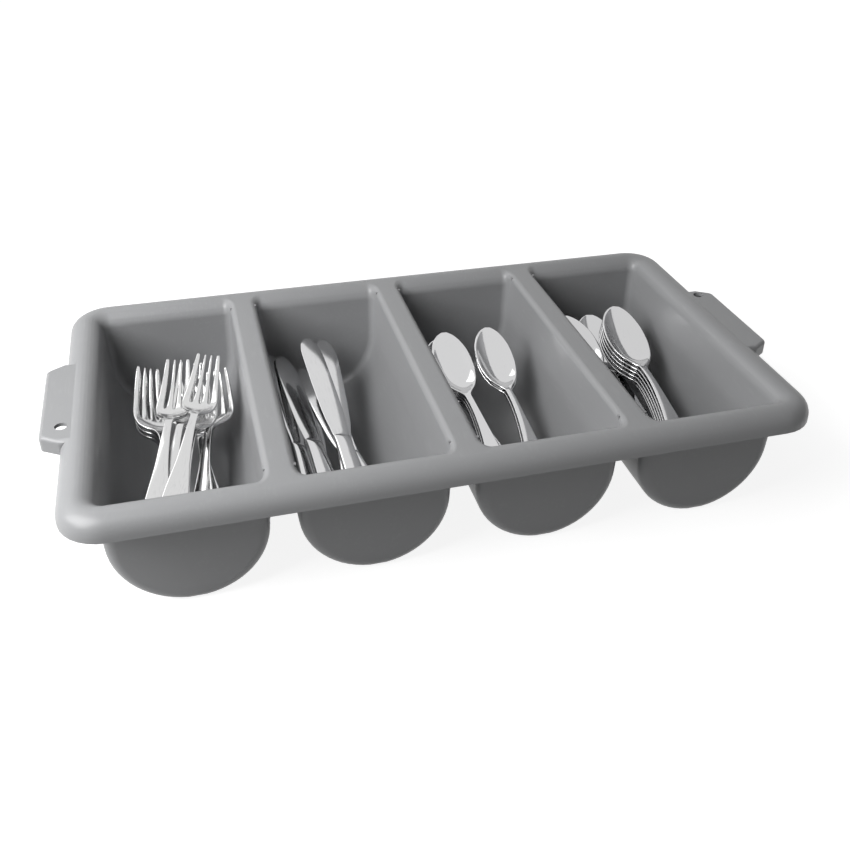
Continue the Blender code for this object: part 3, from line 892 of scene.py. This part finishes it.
def makeSpoon(name, size):
    handle, neck, bowl = (size[key] / 2 for key in ("handle", "neck", "bowl"))
    stem = 1 - size["bowlShare"]
    ratio = size["dish"] / size["thick"]
    stemShares = (
        (0.00, 0.35 * handle, 0.05, 1.0),
        (0.02, 0.70 * handle, 0.06, 1.0),
        (0.07, 0.98 * handle, 0.10, 1.0),
        (0.17, 1.00 * handle, 0.20, 1.0),
        (0.38, 0.84 * handle, 0.50, 1.2),
        (0.65, 0.46 * handle, 0.86, 1.5),
        (0.87, 0.30 * handle, 1.00, 1.7),
        (0.97, 1.00 * neck, 0.98, 1.6),
    )
    bowlShares = (
        (0.05, 0.34, 0.92, 0.18),
        (0.16, 0.66, 0.88, 0.60),
        (0.32, 0.90, 0.88, 0.95),
        (0.50, 1.00, 0.94, 1.00),
        (0.68, 0.95, 1.04, 0.85),
        (0.84, 0.74, 1.16, 0.50),
        (0.95, 0.42, 1.26, 0.18),
        (1.00, 0.12, 1.30, 0.00),
    )
    table = [(along * stem, half, up, -0.15 / ratio, thick) for along, half, up, thick in stemShares]
    lift = size["bowlLift"] / size["rise"]
    table += [(stem + along * size["bowlShare"], wide * bowl, up + along * lift, dip, 1.0)
              for along, wide, up, dip in bowlShares]
    rows = smoothCurve(table, curveSteps)
    acrossShares = (-1, -0.86, -0.62, -0.32, 0, 0.32, 0.62, 0.86, 1)
    columns = [[share * row[1] for share in acrossShares] for row in rows]
    sized = [(a * size["length"], h, u * size["rise"], d * size["dish"]) for a, h, u, d, t in rows]
    gaps = [set() for _ in rows]
    thicknesses = [row[4] * size["thick"] for row in rows]
    return sheetPiece(name, sized, columns, gaps, thicknesses, size["length"])


knifeSizes = {
    "length": 0.222,
    "blade": 0.0200,
    "handle": 0.0190,
    "bolster": 0.0140,
    "handleThick": 0.0062,
    "bladeThick": 0.0018,
    "handleShare": 0.45,
    "sides": 20,
    "powerAcross": 0.75,
    "powerUp": 0.9,
}


def makeKnife(size):
    handle, bolster, blade = (size[key] / 2 for key in ("handle", "bolster", "blade"))
    split = size["handleShare"]
    handleShares = (
        (0.00, 0.45, 0.55), (0.03, 0.80, 0.80), (0.12, 1.00, 1.00), (0.50, 0.92, 1.00),
        (0.90, 0.76, 0.95), (1.00, 0.74, 0.80))
    bladeShares = (
        (0.03, 1.00, bolster), (0.20, 0.92, blade), (0.55, 1.00, blade), (0.82, 0.98, blade),
        (0.93, 0.80, blade), (0.98, 0.48, blade), (1.00, 0.14, blade))
    table = [
        (along * split, wide * handle, thick * size["handleThick"]) for along, wide, thick in handleShares]
    table += [
        (split + along * (1 - split), wide * half, size["bladeThick"]) for along, wide, half in bladeShares]
    rings = []
    for along, half, thick in smoothCurve(table, curveSteps):
        ring = []
        for i in range(size["sides"]):
            turn = 2 * math.pi * i / size["sides"]
            x = math.copysign(abs(math.cos(turn)) ** size["powerAcross"], math.cos(turn)) * half
            z = math.copysign(abs(math.sin(turn)) ** size["powerUp"], math.sin(turn)) * thick / 2
            ring.append((x, (along - 0.5) * size["length"], z))
        rings.append(ring)
    obj = tool("knifeShape", ringsMesh("knifeShape", rings))
    step = obj.modifiers.new("round", "SUBSURF")
    step.levels = step.render_levels = 1
    applied(obj)
    obj.data.shade_smooth()
    mesh = obj.data
    bpy.data.objects.remove(obj)
    return mesh


# Yaw, pitch and roll of each piece in degrees, as it lies: the CAD's box of each says where it is.
layings = {
    "fork": (
        (-13, 16, 25), (-13, 16, 25), (-13, 16, 25), (0, 8, -13), (12, 6, -16), (12.5, 9, 4), (11, 9.5, 4),
        (9, 8, 3.5), (12.5, 7.5, 8.5)),
    "knife": ((-3, 5, 25), (-8.5, 5.5, -9.5), (-1, 11.5, 19), (-7, 8, 40), (-5, 4, 25), (-7, 11, 20)),
    "teaspoon": (
        (-16, 13, 4), (-13, 14, 5), (-7, 14.5, 7), (-7.5, 14.5, 7), (-8, 14.5, 7), (-5.5, 15.5, 10),
        (-6.5, 15.5, 10)),
    "tablespoon": (
        (0, 6, 8), (-5.5, 8, 4.5), (-1, 8, 13.5), (-1, 8, 13.5), (-1, 8, 13.5), (-1, 8, 13.5), (-1, 8, 13.5)),
}


def layCutlery(kind, mesh):
    material = steels[f"{kind}_steel"]
    for number, (yaw, pitch, roll) in enumerate(layings[kind], 1):
        node = f"{kind}_{number}"
        angles = (math.radians(pitch), math.radians(roll), -math.radians(yaw))
        turn = Euler(angles, "XYZ").to_matrix().to_4x4()
        piece = newPiece(f"{kind}{number}", mesh.copy(), material)
        turned = [turn @ v.co for v in mesh.vertices]
        low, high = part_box(node)
        middle = []
        for axis in range(3):
            values = [point[axis] for point in turned]
            middle.append((low[axis] + high[axis]) / 2 - (min(values) + max(values)) / 2)
        piece.matrix_world = Matrix.Translation(middle) @ turn
        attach(piece, node)
        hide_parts(node)
    print(kind, "laid in:", len(layings[kind]))


layCutlery("fork", makeFork(forkSizes))
layCutlery("knife", makeKnife(knifeSizes))
layCutlery("teaspoon", makeSpoon("teaspoonShape", teaspoonSizes))
layCutlery("tablespoon", makeSpoon("tablespoonShape", tablespoonSizes))


# The studio: a white floor, a soft lamp high on the left, a fainter one behind it and a pale room

studio = {
    "floorSize": 12.0,
    "floorColour": (0.36, 0.36, 0.36, 1),
    "floorRoughness": 0.9,
    "floorSpecular": 0.1,
    "floorGlow": (0.88, 1.0),
    "glowReach": (0.27, 0.48),
    "roomLight": 0.055,
    "keyPlace": (-0.66, -0.19, 0.61),
    "keyTarget": (0.0, 0.0, 0.05),
    "keySize": 0.60,
    "keyPower": 9.2,
    "fillPlace": (-0.8, 0.9, 1.2),
    "fillSize": 0.9,
    "fillPower": 3.4,
}


def whiteRays(tree):
    # 1 for the rays that show the white: from the camera, mirrored by metal or passed through glass
    light = newNode(tree, "ShaderNodeLightPath")
    onward = combined(tree, "MAXIMUM", light.outputs["Is Glossy Ray"], light.outputs["Is Transmission Ray"])
    return combined(tree, "MAXIMUM", light.outputs["Is Camera Ray"], onward)


def makeFloor():
    size = studio["floorSize"] / 2
    mesh = bmesh.new()
    for corner in ((-size, -size, 0), (size, -size, 0), (size, size, 0), (-size, size, 0)):
        mesh.verts.new(corner)
    mesh.faces.new(mesh.verts)
    data = bpy.data.meshes.new("floor")
    mesh.to_mesh(data)
    mesh.free()
    made = bpy.data.materials.new("whiteFloor")
    made.use_nodes = True
    tree = made.node_tree
    shader = tree.nodes["Principled BSDF"]
    shader.inputs["Base Color"].default_value = studio["floorColour"]
    shader.inputs["Roughness"].default_value = studio["floorRoughness"]
    shader.inputs["Specular IOR Level"].default_value = studio["floorSpecular"]
    shader.inputs["Emission Color"].default_value = (1, 1, 1, 1)
    # the floor glows more the further it is from the bin, so that it stays white beyond the lamps
    place = newNode(tree, "ShaderNodeTexCoord").outputs["Object"]
    away = newNode(tree, "ShaderNodeVectorMath", {0: place}, operation="LENGTH")
    glow = newNode(tree, "ShaderNodeMapRange", {
        "Value": away.outputs["Value"],
        "From Min": studio["glowReach"][0], "From Max": studio["glowReach"][1],
        "To Min": studio["floorGlow"][0], "To Max": studio["floorGlow"][1]}, interpolation_type="SMOOTHSTEP")
    strength = combined(tree, "MULTIPLY", whiteRays(tree), glow.outputs["Result"])
    tree.links.new(strength, shader.inputs["Emission Strength"])
    floor = newPiece("floor", data, made)


def makeRoom():
    world = bpy.data.worlds.new("paleRoom")
    scene.world = world
    world.use_nodes = True
    tree = world.node_tree
    back = tree.nodes["Background"]
    strength = combined(tree, "MAXIMUM", whiteRays(tree), studio["roomLight"])
    tree.links.new(strength, back.inputs["Strength"])
    back.inputs["Color"].default_value = (1, 1, 1, 1)


def addLamp(name, place, target, size, power):
    lamp = bpy.data.lights.new(name, "AREA")
    lamp.shape = "SQUARE"
    lamp.size = size
    lamp.energy = power
    made = bpy.data.objects.new(name, lamp)
    scene.collection.objects.link(made)
    made.location = place
    made.rotation_euler = (Vector(target) - Vector(place)).to_track_quat("-Z", "Y").to_euler()


makeFloor()
makeRoom()
addLamp("keyLamp", studio["keyPlace"], studio["keyTarget"], studio["keySize"], studio["keyPower"])
addLamp("fillLamp", studio["fillPlace"], studio["keyTarget"], studio["fillSize"], studio["fillPower"])
print("studio lit")
